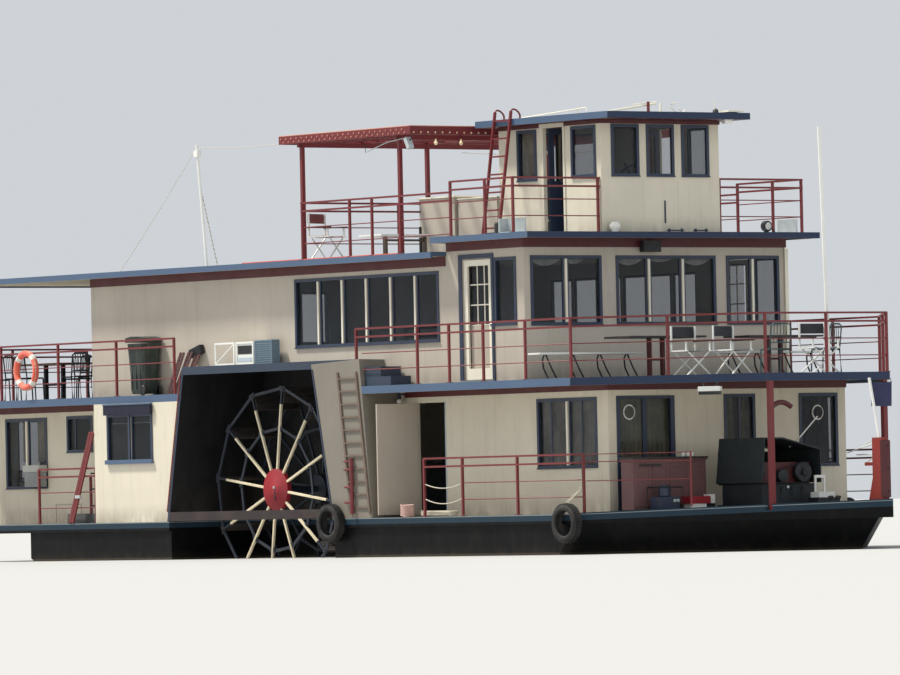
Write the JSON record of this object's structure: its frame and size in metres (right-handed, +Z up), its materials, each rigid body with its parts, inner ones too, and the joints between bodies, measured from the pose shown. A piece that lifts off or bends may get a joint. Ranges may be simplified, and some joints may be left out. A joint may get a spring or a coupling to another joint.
{
  "type": "side-wheel paddle steamer",
  "caption": "Two-deck side-wheel paddle boat with recessed paddle boxes, roof deck, pergola and wheelhouse; its wheels, rudders, helm and doors move.",
  "frame": {"origin": "on the centreline at the waterline, below the axis of the paddle wheels; the boat floats there", "axes": "+X to the bow, +Y to port, +Z up"},
  "size_m": [24.95, 7.5606, 8.8437],
  "materials": {
    "cream_paint": "satin",
    "blue_paint": "satin",
    "maroon_paint": "satin",
    "black_paint": "satin",
    "wheel_paint": "satin",
    "white_paint": "gloss",
    "umber_paint": "satin",
    "roof_paint": "matte",
    "engine_paint": "matte",
    "bin_plastic": "matte",
    "buoy_fabric": "matte",
    "tyre_rubber": "matte"
  },
  "bodies": {
    "boat": {"hull": "black_paint", "main_deck": "blue_paint", "paddle_box_starboard": "cream_paint", "paddle_box_port": "cream_paint", "engine": "engine_paint", "main_side_forward_starboard": "cream_paint", "main_side_forward_port": "cream_paint", "main_side_aft_starboard": "cream_paint", "main_side_aft_port": "cream_paint", "main_front": "cream_paint", "main_aft": "cream_paint", "upper_deck": "blue_paint", "upper_side_starboard": "cream_paint", "upper_side_port": "cream_paint", "upper_front": "cream_paint", "upper_aft": "cream_paint", "aft_roof": "roof_paint", "forward_roof": "blue_paint", "wheelhouse_roof": "blue_paint", "wheelhouse": "cream_paint", "helm_console": "umber_paint", "upper_rail_forward": "maroon_paint", "upper_rail_aft": "maroon_paint", "main_rail_forward_starboard": "maroon_paint", "main_rail_forward_port": "maroon_paint", "main_rail_aft_starboard": "maroon_paint", "main_rail_aft_port": "maroon_paint", "stern_rail": "maroon_paint", "roof_rail": "maroon_paint", "pergola": "maroon_paint", "corner_post_starboard": "maroon_paint", "corner_post_port": "maroon_paint", "jackstaff": "white_paint", "lamp_pole": "white_paint", "house_ladder": "maroon_paint", "box_steps": "blue_paint", "cooler_unit": "blue_paint", "white_chest": "white_paint", "wheeled_bin": "bin_plastic", "lifebuoy": "buoy_fabric", "foredeck_housing": "black_paint", "foredeck_bench": "maroon_paint", "bow_post": "maroon_paint", "tyre_fender_aft_starboard": "tyre_rubber", "tyre_fender_aft_port": "tyre_rubber", "tyre_fender_forward_starboard": "tyre_rubber", "tyre_fender_forward_port": "tyre_rubber"},
    "paddle_wheel_starboard": {"paddle_wheel_starboard": "wheel_paint"},
    "paddle_wheel_port": {"paddle_wheel_port": "wheel_paint"},
    "rudder_starboard": {"rudder_starboard": "black_paint"},
    "rudder_port": {"rudder_port": "black_paint"},
    "helm_wheel": {"helm_wheel": "umber_paint"},
    "main_door_starboard": {"main_door_starboard": "cream_paint"},
    "main_door_port": {"main_door_port": "cream_paint"},
    "upper_door_starboard": {"upper_door_starboard": "cream_paint"},
    "upper_door_port": {"upper_door_port": "cream_paint"},
    "wheelhouse_door_starboard": {"wheelhouse_door_starboard": "cream_paint"},
    "wheelhouse_door_port": {"wheelhouse_door_port": "cream_paint"},
    "stern_door": {"stern_door": "cream_paint"},
    "front_sliding_door": {"front_sliding_door": "cream_paint"}
  },
  "joints": [
    {"name": "wheel_spin_starboard", "type": "hinge", "parent": "boat", "child": "paddle_wheel_starboard", "pos_m": [0, -2.44, 1.28], "axis": [0, 1, 0], "continuous": true},
    {"name": "wheel_spin_port", "type": "hinge", "parent": "boat", "child": "paddle_wheel_port", "pos_m": [0, 2.44, 1.28], "axis": [0, 1, 0], "continuous": true},
    {"name": "rudder_turn_starboard", "type": "hinge", "parent": "boat", "child": "rudder_starboard", "pos_m": [-8.05, -1.5, 0], "axis": [0, 0, 1], "range_deg": [-35, 35]},
    {"name": "rudder_turn_port", "type": "hinge", "parent": "boat", "child": "rudder_port", "pos_m": [-8.05, 1.5, 0], "axis": [0, 0, 1], "range_deg": [-35, 35]},
    {"name": "helm_turn", "type": "hinge", "parent": "boat", "child": "helm_wheel", "pos_m": [7.25, 0, 6.68], "axis": [1, 0, 0], "range_deg": [-540, 540]},
    {"name": "main_door_swing_starboard", "type": "hinge", "parent": "boat", "child": "main_door_starboard", "pos_m": [4.14, -2.745, 0.72], "axis": [0, 0, 1], "range_deg": [-5, 100]},
    {"name": "main_door_swing_port", "type": "hinge", "parent": "boat", "child": "main_door_port", "pos_m": [4.14, 2.745, 0.72], "axis": [0, 0, 1], "range_deg": [-100, 5]},
    {"name": "upper_door_swing_starboard", "type": "hinge", "parent": "boat", "child": "upper_door_starboard", "pos_m": [5.99, -2.945, 3.13], "axis": [0, 0, 1], "range_deg": [0, 100]},
    {"name": "upper_door_swing_port", "type": "hinge", "parent": "boat", "child": "upper_door_port", "pos_m": [5.99, 2.945, 3.13], "axis": [0, 0, 1], "range_deg": [-100, 0]},
    {"name": "wheelhouse_door_swing_starboard", "type": "hinge", "parent": "boat", "child": "wheelhouse_door_starboard", "pos_m": [6.33, -1.289, 5.78], "axis": [0, 0, 1], "range_deg": [-85, 5]},
    {"name": "wheelhouse_door_swing_port", "type": "hinge", "parent": "boat", "child": "wheelhouse_door_port", "pos_m": [6.33, 1.289, 5.78], "axis": [0, 0, 1], "range_deg": [-5, 85]},
    {"name": "stern_door_swing", "type": "hinge", "parent": "boat", "child": "stern_door", "pos_m": [-9.625, -0.425, 0.72], "axis": [0, 0, 1], "range_deg": [-100, 0]},
    {"name": "front_door_slide", "type": "slide", "parent": "boat", "child": "front_sliding_door", "axis": [0, 1, 0], "range_m": [0, 1.15]}
  ],
  "couplings": [
    {"joint": "rudder_turn_port", "follows": "rudder_turn_starboard", "ratio": 1},
    {"joint": "helm_turn", "follows": "rudder_turn_starboard", "ratio": 15.4}
  ]
}
